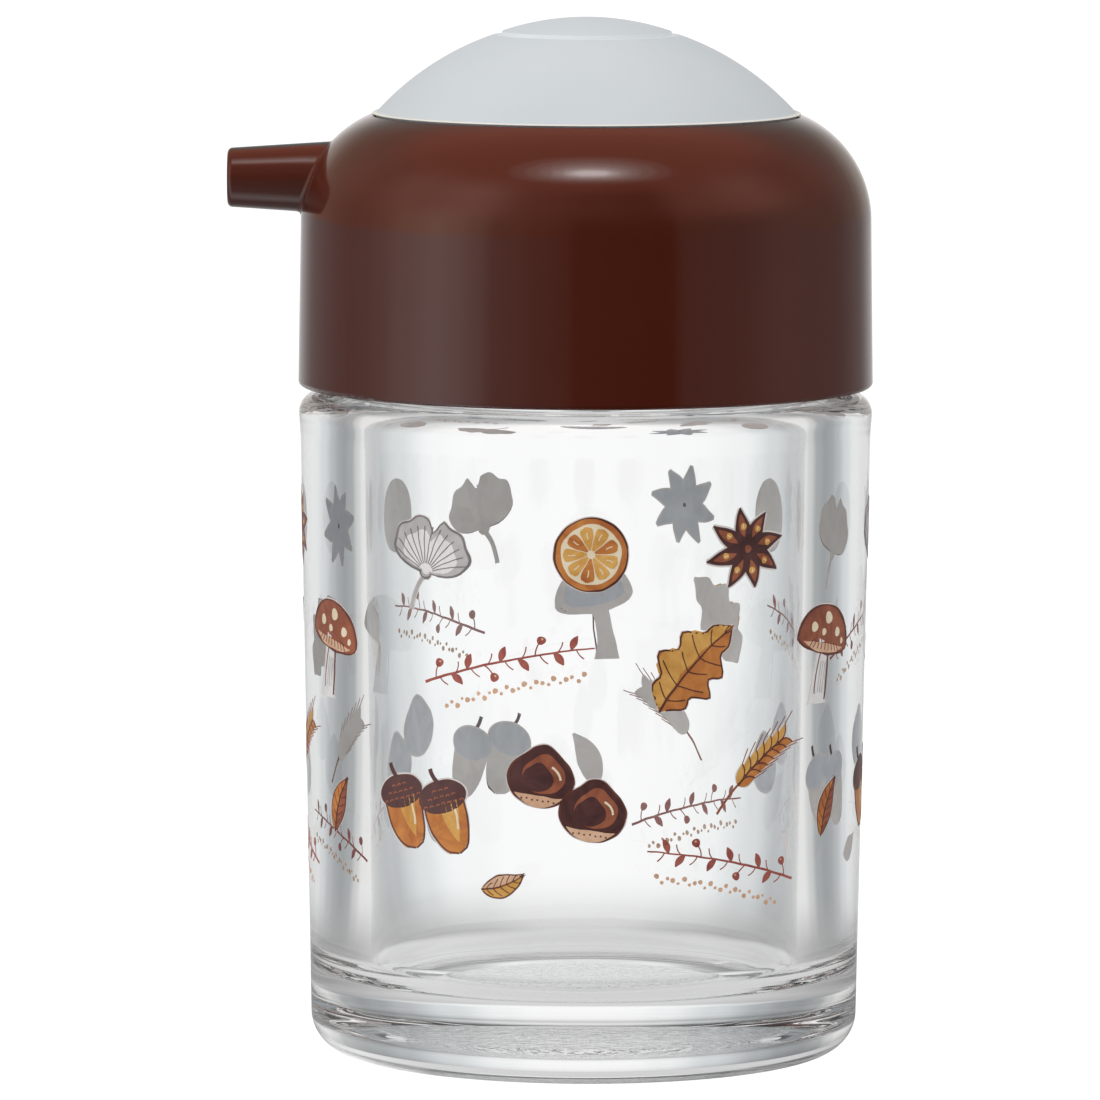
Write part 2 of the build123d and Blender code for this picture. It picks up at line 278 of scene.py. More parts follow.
def rounded(corners):
    """Points of an outline through (radius, height, rounding) corners, and whether each is on an arc."""
    points = []
    last = len(corners) - 1
    for place, (radius, height, rounding) in enumerate(corners):
        here = Vector((radius, height))
        if rounding == 0 or place in (0, last):
            points.append((here, False))
            continue
        before = Vector(corners[place - 1][:2])
        after = Vector(corners[place + 1][:2])
        to_before = (before - here).normalized()
        to_after = (after - here).normalized()
        half_angle = to_before.angle(to_after) / 2
        reach = rounding / tan(half_angle)
        centre = here + (to_before + to_after).normalized() * (rounding / sin(half_angle))
        start = here + to_before * reach - centre
        sweep = start.angle_signed(here + to_after * reach - centre)
        steps = max(2, ceil(abs(sweep) / ARC_STEP))
        for step in range(steps + 1):
            turn = Matrix.Rotation(-sweep * step / steps, 2)
            points.append((centre + turn @ start, True))
    return points


def divided(points):
    """The outline with points added on its straight runs, close to each corner and evenly between."""
    result = [points[0][0]]
    for (start, start_arc), (end, end_arc) in zip(points, points[1:]):
        run = end - start
        length = run.length
        on_arc = start_arc and end_arc and length < 2 * RUN_STEP
        if length > 3 * EDGE_STEP and not on_arc:
            inner = length - 2 * EDGE_STEP
            steps = max(1, ceil(inner / RUN_STEP))
            for step in range(steps + 1):
                along = EDGE_STEP + inner * step / steps
                result.append(start + run * (along / length))
        result.append(end)
    return result


def lathe(name, outline, steps, shift=None):
    """A smooth turned solid from an outline that starts and ends on the axis."""
    build = bmesh.new()
    rings = []
    for radius, height in outline:
        if radius < LEAST_RADIUS:
            rings.append([build.verts.new((0, 0, height * MM))])
            continue
        ring = []
        for step in range(steps):
            angle = 2 * pi * step / steps
            out, up = shift(angle, radius, height) if shift else (radius, height)
            ring.append(build.verts.new(polar(angle, out, up)))
        rings.append(ring)
    for first, second in zip(rings, rings[1:]):
        bridge(build, first, second)
    made = add_solid(name, build)
    made.data.shade_smooth()
    return made


def dress(piece, look, body):
    """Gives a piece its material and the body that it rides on."""
    piece.data.materials.append(look)
    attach(piece, body)


def glass_look():
    """Clear pressed glass that lets light through to the floor and the print's back."""
    made, graph = new_graph("clear_glass")
    place = graph.place()
    waves = graph.bump(graph.cloud(place, 90.0, 2.0), 0.05, SURFACE_RIPPLE * MM)
    across, back, up = graph.add("ShaderNodeSeparateXYZ", {"Vector": place}).outputs
    flat = graph.add("ShaderNodeCombineXYZ", {"X": across, "Y": back})
    reach = graph.length(flat.outputs[0])
    inside = graph.span(reach, PUNT_RADIUS * MM, (PUNT_RADIUS - 1.0) * MM)
    below = graph.span(up, 2 * PUNT_DEPTH * MM, 1.2 * PUNT_DEPTH * MM)
    punt = graph.math("MULTIPLY", inside, below)
    stipple = graph.math("MULTIPLY", graph.cloud(place, 900.0, 2.0), punt)
    glass = graph.add(
        "ShaderNodeBsdfPrincipled",
        {
            "Base Color": (0.998, 1.0, 1.0, 1),
            "Roughness": graph.math("MULTIPLY", punt, STIPPLE_FROST),
            "IOR": 1.5,
            "Transmission Weight": 1.0,
            "Normal": graph.bump(stipple, 1.0, STIPPLE_HEIGHT * MM, Normal=waves),
        },
    )
    clear = graph.add("ShaderNodeBsdfTransparent", {"Color": (0.93, 0.94, 0.94, 1)})
    path = graph.add("ShaderNodeLightPath")
    lit = glass.outputs[0]
    for ray in ("Is Shadow Ray", "Is Diffuse Ray"):
        lit = graph.mix(path.outputs[ray], lit, clear.outputs[0])
    graph.surface(lit)
    return made


def brown_look():
    """Polished dark red-brown plastic."""
    made, graph = new_graph("brown_gloss_plastic")
    cloud = graph.cloud(graph.place(), 60.0, 3.0)
    tone = graph.two_tone(cloud, (0.062, 0.0105, 0.0048), (0.066, 0.0115, 0.0055))
    rough = graph.add("ShaderNodeMapRange", {"Value": cloud, "To Min": 0.09, "To Max": 0.12})
    graph.coat(tone, rough.outputs["Result"], IOR=1.5)
    return made


# Painted light on the silicone's thin edges, paler where light shines through them: two distances from
# the axis, and the painted colour
PAINTED_EDGE_LIGHT = {
    "painted_rim_light": (DOME_RIM_RADIUS - 0.24, DOME_RIM_RADIUS + 0.1, (0.76, 0.73, 0.66)),
    "painted_step_light": (PAD_RADIUS + 0.05, PAD_RADIUS + 0.16, (0.70, 0.74, 0.76)),
}


def dome_look():
    """Matte pale blue-grey silicone with a faint grain, and painted light that makes its thin edges
    paler.
    """
    made, graph = new_graph("pale_silicone")
    place = graph.place()
    tone = graph.two_tone(graph.cloud(place, 45.0, 4.0), (0.530, 0.575, 0.601), (0.553, 0.596, 0.619))
    # Painted light: the marked thin edges are blended to a paler colour.
    for edge, (_, _, pale) in PAINTED_EDGE_LIGHT.items():
        amount = graph.add("ShaderNodeAttribute", attribute_name=edge).outputs["Fac"]
        tone = graph.blend(amount, tone, colour(pale))
    grain = graph.bump(graph.cloud(place, 2500.0, 2.0), 0.12, 0.1 * MM)
    graph.coat(tone, 0.55, IOR=1.41, Normal=grain)
    return made


def pale_look(name, low, high, roughness):
    """A plain moulded plastic or rubber that is slightly uneven in tone."""
    made, graph = new_graph(name)
    cloud = graph.cloud(graph.place(), 80.0, 3.0)
    graph.coat(graph.two_tone(cloud, low, high), roughness)
    return made


def bottle_shift(angle, radius, height):
    """Small moulding ripples of the inner wall and of the punt."""
    on_wall = FLOOR_HEIGHT + BORE_RIPPLE_MARGIN < height < RIM_HEIGHT - BORE_RIPPLE_MARGIN
    if radius < BORE_TOP_RADIUS + BORE_RIPPLE_REACH and on_wall:
        round_place = Vector((cos(angle), sin(angle), 0)) * BORE_RIPPLES_ROUND
        place = round_place + Vector((0, 0, height / BORE_RIPPLE_LENGTH))
        return radius + BORE_RIPPLE * noise.noise(place), height
    if radius < PUNT_RADIUS - PUNT_RIPPLE_MARGIN and height < PUNT_DEPTH + PUNT_RIPPLE_REACH:
        place = Vector((radius * cos(angle), radius * sin(angle), 0)) * PUNT_RIPPLE_SCALE
        return radius, height + PUNT_RIPPLE * noise.noise(place)
    return radius, height


def make_bottle(look):
    corners = (
        (0, PUNT_DEPTH, 0),
        (PUNT_RADIUS, PUNT_DEPTH, PUNT_ROUNDING),
        (FOOT_RING_INNER_RADIUS, 0, PUNT_ROUNDING),
        (FOOT_RADIUS, 0, HEEL_ROUNDING),
        (BODY_TOP_RADIUS, BODY_TOP_HEIGHT, 0),
        (BAND_RADIUS, SHOULDER_HEIGHT, SHOULDER_ROUNDING),
        (NECK_RADIUS, SHOULDER_HEIGHT, NECK_ROOT_ROUNDING),
        (NECK_RADIUS, RIM_HEIGHT, RIM_ROUNDING),
        (BORE_TOP_RADIUS, RIM_HEIGHT, RIM_ROUNDING),
        (BORE_BOTTOM_RADIUS, FLOOR_HEIGHT, FLOOR_CORNER_ROUNDING),
        (0, FLOOR_HEIGHT, 0),
    )
    bottle = lathe("bottle_glass", divided(rounded(corners)), BOTTLE_STEPS, bottle_shift)
    dress(bottle, look, "bottle")
    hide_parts("bottle")


def sphere_arc(centre_height, sphere_radius, start_radius, end_radius, steps):
    """Points of a sphere's outline between two distances from the axis."""
    points = []
    for step in range(steps + 1):
        radius = start_radius + (end_radius - start_radius) * step / steps
        points.append((radius, centre_height + sqrt(sphere_radius ** 2 - radius ** 2), 0))
    return points


def mark_edge(piece, name, low_radius, high_radius):
    """Marks the points of the upper side that lie between two distances from the axis, where light is
    painted on.
    """
    mark = piece.data.attributes.new(name, "FLOAT", "POINT")
    for point, value in zip(piece.data.vertices, mark.data):
        reach = hypot(point.co.x, point.co.y) / MM
        upper = point.co.z > (LIP_UNDERSIDE + 1) * MM
        value.value = 1.0 if upper and low_radius < reach < high_radius else 0.0


def make_dome(look):
    """The silicone moulding: flange, dome wall and raised pad in one."""
    inner_radius = DOME_RADIUS - DOME_WALL
    inner_skirt = DOME_SKIRT_RADIUS - DOME_WALL
    pad = sphere_arc(PAD_TOP_CENTRE_HEIGHT, PAD_TOP_RADIUS, 0, PAD_RADIUS, PAD_ARC_STEPS)
    centre = DOME_CENTRE_HEIGHT
    outer = sphere_arc(centre, DOME_RADIUS, PAD_FOOT_RADIUS, DOME_FOOT_RADIUS, DOME_ARC_STEPS)
    inner = sphere_arc(centre, inner_radius, inner_skirt, PAD_UNDERSIDE_RADIUS, DOME_ARC_STEPS)
    corners = [
        *pad,
        (PAD_RADIUS + PAD_SIDE_TOP_WIDTH, PAD_FOOT_HEIGHT + PAD_SIDE_HEIGHT, 0),
        (PAD_RADIUS + PAD_SIDE_WIDTH, PAD_FOOT_HEIGHT, PAD_SIDE_ROUNDING),
        (PAD_FOOT_RADIUS - PAD_LEDGE_WIDTH, PAD_FOOT_HEIGHT - PAD_LEDGE_DROP, PAD_LEDGE_ROUNDING),
        *outer,
        (DOME_RIM_RADIUS - DOME_RIM_BEVEL_WIDTH, DOME_RIM_TOP, 0),
        (DOME_RIM_RADIUS, DOME_RIM_TOP - DOME_RIM_BEVEL_HEIGHT, 0),
        (DOME_RIM_RADIUS - DOME_RIM_UNDERCUT, DOME_RIM_UNDERSIDE, 0),
        (DOME_SKIRT_RADIUS, DOME_RIM_UNDERSIDE, 0),
        (DOME_SKIRT_RADIUS, LIP_UNDERSIDE, 0),
        (DOME_FLANGE_RADIUS, LIP_UNDERSIDE, 0),
        (DOME_FLANGE_RADIUS, BEAD_UNDERSIDE, 0),
        (DOME_BEAD_RADIUS, BEAD_UNDERSIDE, 0),
        (DOME_BEAD_RADIUS, FLANGE_UNDERSIDE, 0),
        (inner_skirt, FLANGE_UNDERSIDE, 0),
        *inner,
        (PAD_UNDERSIDE_RADIUS - PAD_INSIDE_SLOPE, PAD_UNDERSIDE, 0),
        (0, PAD_UNDERSIDE, 0),
    ]
    dome = lathe("dome_silicone", divided(rounded(corners)), DOME_STEPS)
    # Marks the thin edges where light is painted on.
    for edge, (low_radius, high_radius, _) in PAINTED_EDGE_LIGHT.items():
        mark_edge(dome, edge, low_radius, high_radius)
    dome.data.materials.append(look)
    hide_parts("push_dome", "push_pad")
    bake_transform(dome)


def thread_ridge(name, root_radius, outward, start_turn):
    """A helical ridge that fades in and out at its ends, on a wall that faces outward or inward."""
    build = bmesh.new()
    steps = round(THREAD_STEPS_PER_TURN * THREAD_TURNS)
    rings = []
    for step in range(steps + 1):
        part = step / steps
        fade = min(1.0, THREAD_TAPER * part, THREAD_TAPER * (1 - part)) ** 0.5
        share = THREAD_END_SHARE + (1 - THREAD_END_SHARE) * fade
        turn = start_turn - 2 * pi * THREAD_TURNS * part
        height = THREAD_START - THREAD_PITCH * THREAD_TURNS * part
        depth = THREAD_DEPTH * fade
        sink = THREAD_SINK * share
        root = THREAD_ROOT_WIDTH / 2 * share
        crest = THREAD_CREST_WIDTH / 2 * share
        flank_rise, flank_up = THREAD_FLANK * depth, THREAD_FLANK * (root + crest)
        upper = ((-sink, root), (0.0, root), (flank_rise, flank_up), (depth, crest))
        section = (*upper, *((rise, -up) for rise, up in reversed(upper)))
        ring = []
        for rise, up in section:
            ring.append(build.verts.new(polar(turn, root_radius + outward * rise, height + up)))
        rings.append(ring)
    for first, second in zip(rings, rings[1:]):
        bridge(build, first, second)
    build.faces.new(rings[0])
    build.faces.new(rings[-1])
    made = add_solid(name, build)
    made.data.shade_smooth()
    return made


def make_threads(glass, plastic):
    """The neck's ridge, and the lid's ridge half a pitch away from it."""
    neck = thread_ridge("neck_thread", NECK_RADIUS, 1, 0.0)
    dress(neck, glass, "bottle")
    lid = thread_ridge("lid_thread", SKIRT_INNER_RADIUS, -1, pi)
    dress(lid, plastic, "cap")


# Print on the glass, whose motifs are drawn in millimetres round their own middle
PRINT_REPEATS = 3
PRINT_TURN = 14.0
INK_DEPTH = 0.030
INK_RISE = 0.010
INK_LAYER = 0.015
INK_INNER_STEP = 0.003
INK_WOBBLE = 0.07
INK_WOBBLE_SCALE = 0.9
INK_WOBBLE_SEED = 7
BLOB_RING = 0.55
BLOB_STEP = 0.32
STRIP_COLUMN = 0.6
LEAST_HALF_WIDTH = 0.02
OUTLINE_WIDTH = 0.17
UNDERLAY_MARGIN = 0.16
INK_CLOUD_SCALE = 260.0
INK_ROUGHNESS = 0.42


def body_radius(height):
    """The outside radius of the glass at a height on its straight side."""
    return FOOT_RADIUS + (BODY_TOP_RADIUS - FOOT_RADIUS) * height / BODY_TOP_HEIGHT


def wave(turn, count, depth, start=0.0):
    return 1 + depth * cos(count * turn + start)


def left_of(along):
    return Vector((-along.y, along.x))


def bow(start, end, bulge=0.0, steps=12):
    """Points of a curve between two points that bends to its left by a bulge."""
    start, end = Vector(start), Vector(end)
    along = end - start
    side = left_of(along).normalized()
    points = []
    for step in range(steps + 1):
        part = step / steps
        points.append(start + along * part + side * (4 * bulge * part * (1 - part)))
    return points


def loop(centre, radius_at):
    """A closed outline round a centre, from its radius at each angle."""
    reach = max(radius_at(2 * pi * part / 24) for part in range(24))
    count = max(12, ceil(2 * pi * reach / BLOB_STEP))
    points = []
    for place in range(count):
        turn = 2 * pi * place / count
        points.append(Vector(centre) + radius_at(turn) * Vector((cos(turn), sin(turn))))
    return points


def disc(radius, count=0, depth=0.0):
    return lambda turn: radius * wave(turn, count, depth)


def oval(wide, high):
    return lambda turn: wide * high / hypot(high * cos(turn), wide * sin(turn))


def wider(size_at, margin=UNDERLAY_MARGIN):
    """A radius or half width with a margin added all along."""
    return lambda where: size_at(where) + margin


def lens(half_width, end=0.03):
    """Half widths of a band that narrows towards both ends."""
    return lambda part: half_width * sin(pi * part) + end


class Ink:
    """Thin closed shells of ink on the glass, collected by colour."""

    def __init__(self):
        self.builds = {}
        self.move(0, 0)

    def move(self, azimuth, height, turn=0.0, size=1.0, mirror=1):
        """Sets where the next shapes go: degrees round the glass from the front, and a height."""
        self.azimuth, self.height = azimuth, height
        self.turn, self.size, self.mirror = radians(turn), size, mirror

    def vert(self, build, point, rise):
        wobbled = Vector((point.x, point.y, self.azimuth)) * INK_WOBBLE_SCALE
        shift = noise.noise_vector(wobbled) * INK_WOBBLE
        across = (point.x + shift.x) * self.size * self.mirror
        up = (point.y + shift.y) * self.size
        height = self.height + across * sin(self.turn) + up * cos(self.turn)
        reach = body_radius(height) + rise
        angle = radians(self.azimuth) + (across * cos(self.turn) - up * sin(self.turn)) / reach
        return build.verts.new((reach * sin(angle) * MM, -reach * cos(angle) * MM, height * MM))

    def shell(self, colour_name, layer, grid, closed):
        """A closed shell over a grid of rows. A closed grid's rows are rings, the first a point."""
        build = self.builds.setdefault(colour_name, bmesh.new())
        inner_rise = -INK_DEPTH + INK_INNER_STEP * layer
        outer_rise = INK_RISE + INK_LAYER * layer
        sides = []
        for rise in (inner_rise, outer_rise):
            rows = [[self.vert(build, point, rise) for point in row] for row in grid]
            sides.append(rows)
            for first, second in zip(rows, rows[1:]):
                bridge(build, first, second, closed)
        if closed:
            edges = [rows[-1] for rows in sides]
        else:
            edges = []
            for rows in sides:
                start_side = [row[0] for row in rows[1:-1]]
                end_side = [row[-1] for row in rows[1:-1]]
                edges.append(rows[0] + end_side + rows[-1][::-1] + start_side[::-1])
        for step in range(len(edges[0])):
            after = (step + 1) % len(edges[0])
            build.faces.new((edges[0][step], edges[0][after], edges[1][after], edges[1][step]))

    def blob(self, colour_name, layer, centre, radius_at):
        """A filled outline round a centre."""
        outline = loop(centre, radius_at)
        middle = Vector(centre)
        reach = max((point - middle).length for point in outline)
        rings = max(2, ceil(reach / BLOB_RING))
        grid = [[middle]]
        for ring in range(1, rings + 1):
            grid.append([middle.lerp(point, ring / rings) for point in outline])
        self.shell(colour_name, layer, grid, True)

    def dot(self, colour_name, layer, centre, radius):
        self.blob(colour_name, layer, centre, disc(radius, 3, 0.06))

    def strip(self, colour_name, layer, points, half_width_at):
        """A band along points, whose half width is a number or follows the part of the way."""
        points = [Vector(point) for point in points]
        last = len(points) - 1
        if callable(half_width_at):
            widths = [half_width_at(place / last) for place in range(last + 1)]
        else:
            widths = [half_width_at] * (last + 1)
        columns = max(1, ceil(2 * max(widths) / STRIP_COLUMN))
        grid = []
        for place, (point, width) in enumerate(zip(points, widths)):
            along = points[min(place + 1, last)] - points[max(place - 1, 0)]
            side = left_of(along).normalized() * max(width, LEAST_HALF_WIDTH)
            grid.append([point + side * (2 * column / columns - 1) for column in range(columns + 1)])
        self.shell(colour_name, layer, grid, False)

    def rim(self, colour_name, layer, centre, radius_at, width=OUTLINE_WIDTH):
        """A drawn line of uneven width round an outline."""
        points = loop(centre, radius_at)
        points.append(points[0])
        self.strip(colour_name, layer, points, lambda part: width * (0.5 + 0.2 * sin(17 * part)))

    def finish(self, looks):
        """Makes one piece of each colour."""
        for colour_name, build in self.builds.items():
            piece = add_solid("print_" + colour_name, build)
            dress(piece, looks[colour_name], "bottle")


def draw_citrus(ink):
    """A round slice of citrus fruit."""
    ink.blob("underlay", 0, (0, 0), disc(3.85))
    ink.blob("orange", 1, (0, 0), disc(3.65, 7, 0.01))
    ink.blob("cream", 2, (0, 0), disc(3.05, 5, 0.015))
    for place in range(9):
        turn = 2 * pi * place / 9 + 0.2
        out = Vector((cos(turn), sin(turn)))
        colour_name = "gold" if place % 3 else "orange"
        ink.strip(colour_name, 3, bow(out * 0.42, out * 2.82), segment_width)
        ink.strip("cream", 4, bow(out * 1.6, out * 2.3, 0.05, 4), 0.05)
    ink.rim("umber", 2, (0, 0), disc(3.68))


def segment_width(part):
    """Half width of a segment of the fruit, from its point to its round end."""
    return 0.10 + 0.80 * part ** 0.9 * sqrt(max(0.0, 1 - part ** 6))


def leaf_width(width, lobes, depth):
    """Half width of a leaf, widest before its middle, with lobes along its edge."""
    return lambda part: width * sin(pi * part ** 0.85) * wave(2 * pi * part, lobes, depth, pi)


def grain_width(part):
    return 0.40 * sin(pi * part ** 0.8) + 0.02


def draw_leaf(ink, start, end, width, bulge=0.5, lobes=0, main="orange", shade="gold"):
    """A leaf with a midrib, a lighter half, side veins and a drawn edge."""
    steps = 26
    rib = bow(start, end, bulge, steps)
    outline = leaf_width(width, lobes, 0.24 if lobes else 0.0)
    ink.strip("underlay", 0, rib, wider(outline))
    ink.strip(main, 1, rib, outline)
    lit = []
    for place, point in enumerate(rib[1:-1]):
        along = (rib[place + 2] - rib[place]).normalized()
        side = left_of(along)
        half = outline((place + 1) / steps) * 0.5
        lit.append(point + side * half)
        if place % 4 == 2:
            tip = point + along * 0.9
            reach = outline((place + 3) / steps) * 0.8
            ink.strip("umber", 3, bow(point, tip + side * reach, 0.08, 4), 0.05)
            ink.strip("umber", 3, bow(point, tip - side * reach, -0.08, 4), 0.05)
    ink.strip(shade, 2, lit, lambda part: 0.42 * outline(0.04 + 0.92 * part))
    ink.strip("umber", 4, rib, lambda part: 0.10 * (1 - 0.6 * part))
    for sign in (-1, 1):
        edge = []
        for place in range(1, steps):
            along = (rib[place + 1] - rib[place - 1]).normalized()
            edge.append(rib[place] + left_of(along) * sign * outline(place / steps))
        ink.strip("umber", 2, edge, OUTLINE_WIDTH * 0.45)


def draw_acorn(ink, x=0.0, y=0.0):
    """A golden acorn in its brown cup."""
    steps = 14
    nut = bow((x, y + 1.0), (x + 0.3, y - 3.6), -0.15, steps)

    def round_end(part):
        return 1.95 * sqrt(max(0.0, 1 - part ** 2.6)) + 0.05

    ink.strip("underlay", 0, nut, wider(round_end))
    ink.strip("orange", 1, nut, round_end)
    lit = [point + Vector((0.45, 0)) for point in nut[:-3]]
    ink.strip("gold", 2, lit, lambda part: 0.85 * (1 - part ** 2) + 0.05)
    ink.strip("cream", 3, bow((x + 0.95, y + 0.2), (x + 0.8, y - 1.6), 0.05, 6), 0.10)
    for sign in (-1, 1):
        edge = [point + Vector((sign * round_end(place / steps), 0)) for place, point in enumerate(nut)]
        ink.strip("umber", 2, edge, 0.08)
    cup = oval(2.45, 1.45)
    ink.blob("underlay", 0, (x, y + 1.5), wider(cup))
    ink.blob("shade", -1, (x, y + 1.5), cup)
    ink.blob("brown", 2, (x, y + 1.5), cup)
    for row in range(3):
        for place in range(-3 + row, 4 - row):
            spot = Vector((x + 0.62 * place, y + 0.85 + 0.6 * row))
            half = Vector((0.2, 0))
            ink.strip("russet", 3, bow(spot - half, spot + half, 0.12, 3), 0.06)
    ink.strip("brown", 2, bow((x, y + 2.7), (x - 0.5, y + 4.1), 0.15, 6), 0.2)


def arm_width(part):
    return 0.78 * sin(pi * part ** 0.7) + 0.04


def draw_star(ink):
    """A dark star anise with a seed in each arm."""
    for place in range(8):
        turn = 2 * pi * place / 8 + 0.15
        out = Vector((cos(turn), sin(turn)))
        long = 3.9 + 0.35 * sin(5 * place)
        arm = bow(out * 0.2, out * long, 0.12, 12)
        ink.strip("underlay", 0, arm, wider(arm_width))
        ink.strip("shade", -1, arm, arm_width)
        ink.strip("brown", 1, arm, arm_width)
        ink.strip("russet", 2, arm[3:11], lens(0.34))
        ink.dot("gold", 3, out * (0.55 * long), 0.3)
        ink.strip("cream", 4, bow(out * (0.52 * long), out * (0.6 * long), 0.04, 3), 0.04)
    ink.dot("brown", 2, (0, 0), 0.75)
    ink.dot("russet", 3, (0, 0), 0.35)


def draw_mushroom(ink):
    """A pale mushroom with a russet cap."""
    stem = bow((-0.2, -4.3), (0, 0.6), 0.25, 12)

    def stem_width(part):
        return 1.15 - 0.5 * sin(pi * min(1.0, part * 0.8))

    def cap(turn):
        return oval(3.7, 2.9)(turn) if turn <= pi else oval(3.7, 0.95)(turn)

    ink.strip("underlay", 0, stem, wider(stem_width))
    ink.strip("pearl", 1, stem, stem_width)
    ink.strip("umber", 2, bow((-0.75, -3.6), (-0.5, -0.4), 0.15, 8), 0.06)
    ink.strip("umber", 2, bow((0.75, -3.9), (0.6, -0.4), -0.1, 8), 0.08)
    for place in range(3):
        ink.strip("grey", 2, bow((-0.3 + 0.3 * place, -3.4), (-0.25 + 0.3 * place, -1.0), 0.06, 5), 0.05)
    ink.blob("underlay", 0, (0, 0.6), wider(cap))
    ink.blob("shade", -1, (0, 0.9), lambda turn: 0.8 * cap(turn))
    ink.blob("russet", 1, (0, 0.6), cap)
    ink.strip("peach", 2, bow((-2.9, 0.35), (2.9, 0.35), -0.32, 14), lens(0.42))
    for place in range(9):
        x = -2.2 + 0.55 * place
        ink.strip("umber", 3, bow((x * 0.8, 0.55), (x, -0.05), 0.03, 3), 0.04)
    spots = ((-1.7, 1.6, 0.42), (0.2, 2.5, 0.5), (1.8, 1.5, 0.4), (-0.3, 1.3, 0.3), (2.7, 0.9, 0.25))
    for x, y, radius in spots:
        ink.dot("cream", 3, (x, y), radius)
    ink.rim("umber", 2, (0, 0.6), cap)


def draw_chestnut(ink, x=0.0, y=0.0):
    """A glossy chestnut with its pale base."""

    def shape(turn):
        point = max(0.0, cos(turn - pi / 2)) ** 9
        return oval(3.0, 2.45)(turn) * (1 + 0.30 * point)

    ink.blob("underlay", 0, (x, y), wider(shape))
    ink.blob("shade", -1, (x, y), shape)
    ink.blob("brown", 1, (x, y), shape)
    ink.blob("russet", 2, (x + 0.25, y + 0.35), lambda turn: 0.66 * shape(turn))
    ink.blob("brown", 3, (x - 0.25, y + 0.05), lambda turn: 0.48 * shape(turn))
    base = bow((x - 2.2, y - 1.45), (x + 2.2, y - 1.45), -0.55, 14)
    ink.strip("peach", 4, base, lens(0.52))
    for place in range(7):
        spot = (x - 1.5 + 0.5 * place, y - 1.9 + 0.07 * (place % 2))
        ink.dot("umber", 5, spot, 0.09)
    ink.strip("cream", 4, bow((x + 0.9, y + 1.3), (x + 1.8, y + 0.2), 0.18, 6), 0.10)
    ink.rim("umber", 2, (x, y), shape)


def draw_ginkgo(ink):
    """A grey fan leaf with a notch."""
    root = Vector((0, -1.2))

    def fan(turn):
        lift = abs(turn - pi / 2)
        if lift > pi:
            lift = 2 * pi - lift
        fullness = max(0.0, 1 - (lift / 1.62) ** 6)
        notch = 1 - 0.30 * max(0.0, 1 - lift / 0.16)
        return (0.55 + 4.4 * fullness) * notch * (1 + 0.03 * cos(13 * turn))

    ink.blob("underlay", 0, root, wider(fan))
    ink.blob("grey", 1, root, fan)
    ink.blob("pearl", 2, (0, -1.0), lambda turn: 0.72 * fan(turn))
    for place in range(-6, 7):
        turn = pi / 2 + 0.2 * place + 0.04
        out = Vector((cos(turn), sin(turn)))
        ink.strip("slate", 3, bow(root + out * 0.8, root + out * 4.2, 0.1, 6), 0.045)
    ink.rim("slate", 3, root, fan)
    stalk = bow((0.05, -1.4), (-0.7, -4.9), -0.3, 10)
    ink.strip("underlay", 0, stalk, 0.26)
    ink.strip("grey", 1, stalk, 0.17)


def draw_wheat(ink):
    """An ear of grain."""
    stem = bow((-1.2, -5.4), (0.4, 3.2), 0.5, 20)
    ink.strip("russet", 1, stem, 0.10)
    for place in range(7, 21, 2):
        along = (stem[min(20, place + 1)] - stem[place - 1]).normalized()
        side = left_of(along)
        for sign in (-1, 1):
            start = stem[place] + side * (0.1 * sign)
            end = start + along * 1.5 + side * (0.85 * sign)
            grain = bow(start, end, -0.12 * sign, 8)
            ink.strip("underlay", 0, grain, wider(grain_width, 0.1))
            ink.strip("gold" if sign > 0 else "orange", 1, grain, grain_width)
            ink.strip("umber", 2, bow(start, end, -0.45 * sign, 8), 0.055)
            ink.strip("russet", 1, bow(end, end + along * 1.3 + side * (0.45 * sign), 0, 3), 0.04)


def draw_sprig(ink):
    """A long thin twig with small leaves and berries, and a garland of seeds under it."""
    twig = bow((-8.2, -0.6), (8.2, 1.0), 0.5, 40)
    ink.strip("wine", 1, twig, lambda part: 0.13 - 0.06 * part)
    for place in range(3, 39, 4):
        along = (twig[place + 1] - twig[place - 1]).normalized()
        side = left_of(along) * (1 if place % 8 == 3 else -1)
        tip = twig[place] + side * 1.25 + along * 0.75
        if place % 3:
            ink.strip("wine", 1, bow(twig[place], tip, 0.1, 8), lens(0.30, 0.05))
        else:
            ink.strip("wine", 1, bow(twig[place], tip, 0.12, 5), 0.06)
            ink.dot("wine", 1, tip, 0.42)
            ink.dot("peach", 2, tip + Vector((0.1, 0.12)), 0.11)
        back = twig[place + 1] - side * 0.9 + along * 0.6
        ink.strip("wine", 1, bow(twig[place + 1], back, -0.1, 5), 0.055)
    garland = bow((-6.2, -2.9), (7.0, -1.5), 0.35, 24)
    for place, point in enumerate(garland):
        seed = point + Vector((0, 0.28 * sin(2.4 * place)))
        ink.dot("peach", 1, seed, 0.2 + 0.06 * sin(3.7 * place))


